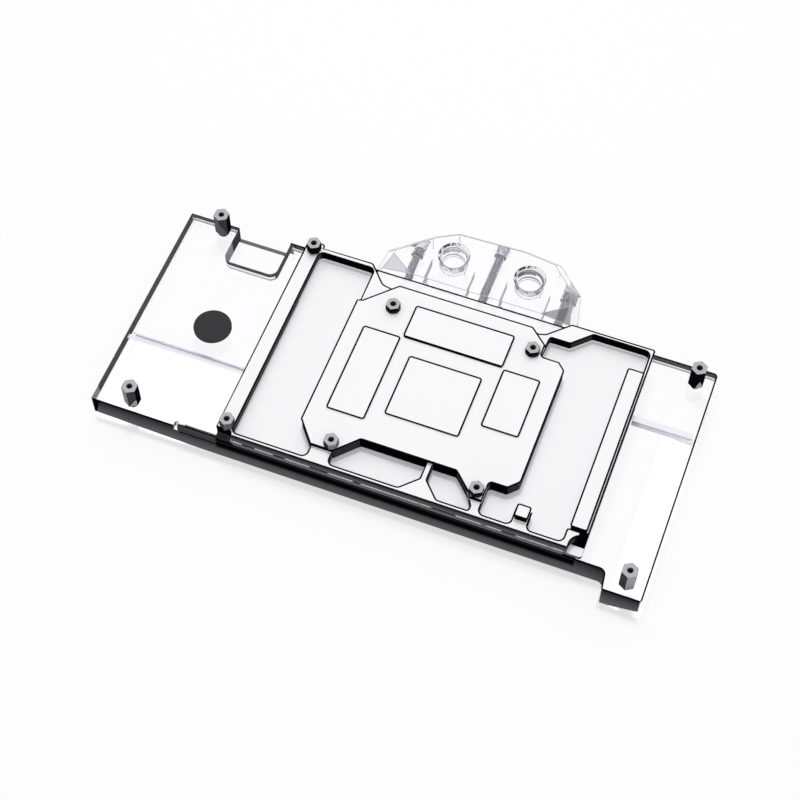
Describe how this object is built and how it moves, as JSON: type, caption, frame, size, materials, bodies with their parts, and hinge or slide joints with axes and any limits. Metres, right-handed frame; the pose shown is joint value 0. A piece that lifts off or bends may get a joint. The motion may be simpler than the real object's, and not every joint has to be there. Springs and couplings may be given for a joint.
{
  "type": "gpu water block",
  "caption": "Full-cover liquid cooling block for a graphics card: clear body, machined cold plate, hexagonal standoffs and a faceted clear hose terminal.",
  "frame": {"origin": "centre of the four core standoffs, in the plane of the standoff tops, where the card's board rests", "axes": "+X along the long edge, +Y towards the hose terminal, +Z out of the block towards the card"},
  "size_m": [0.2571, 0.1534, 0.0255],
  "materials": {
    "clear": "clear polished acrylic",
    "clear_terminal": "clear polished acrylic with cut facets",
    "plate": "bright nickel plating on copper",
    "seal": "matt",
    "screw": "zinc plated",
    "standoff": "nickel plated",
    "badge": "black anodised",
    "cover": "satin black",
    "board": "white solder mask",
    "lamp": "white lamp body"
  },
  "bodies": {
    "root": {"clear_body": "clear", "terminal_block": "clear_terminal", "cold_plate": "plate", "main_seal": "seal", "terminal_seal_left": "seal", "terminal_seal_right": "seal", "terminal_side_screws": "screw", "terminal_centre_screw": "screw", "plate_screws": "screw", "badge_disc": "badge", "light_cover": "cover", "light_board": "board", "light_leds": "lamp", "corner_standoff_back_left": "standoff", "core_standoff_back_left": "standoff", "corner_standoff_front_left": "standoff", "core_standoff_front_left": "standoff", "corner_standoff_back_right": "standoff", "core_standoff_back_right": "standoff", "corner_standoff_front_right": "standoff", "core_standoff_front_right": "standoff", "side_standoff_back": "standoff", "side_standoff_front": "standoff"}
  },
  "joints": []
}
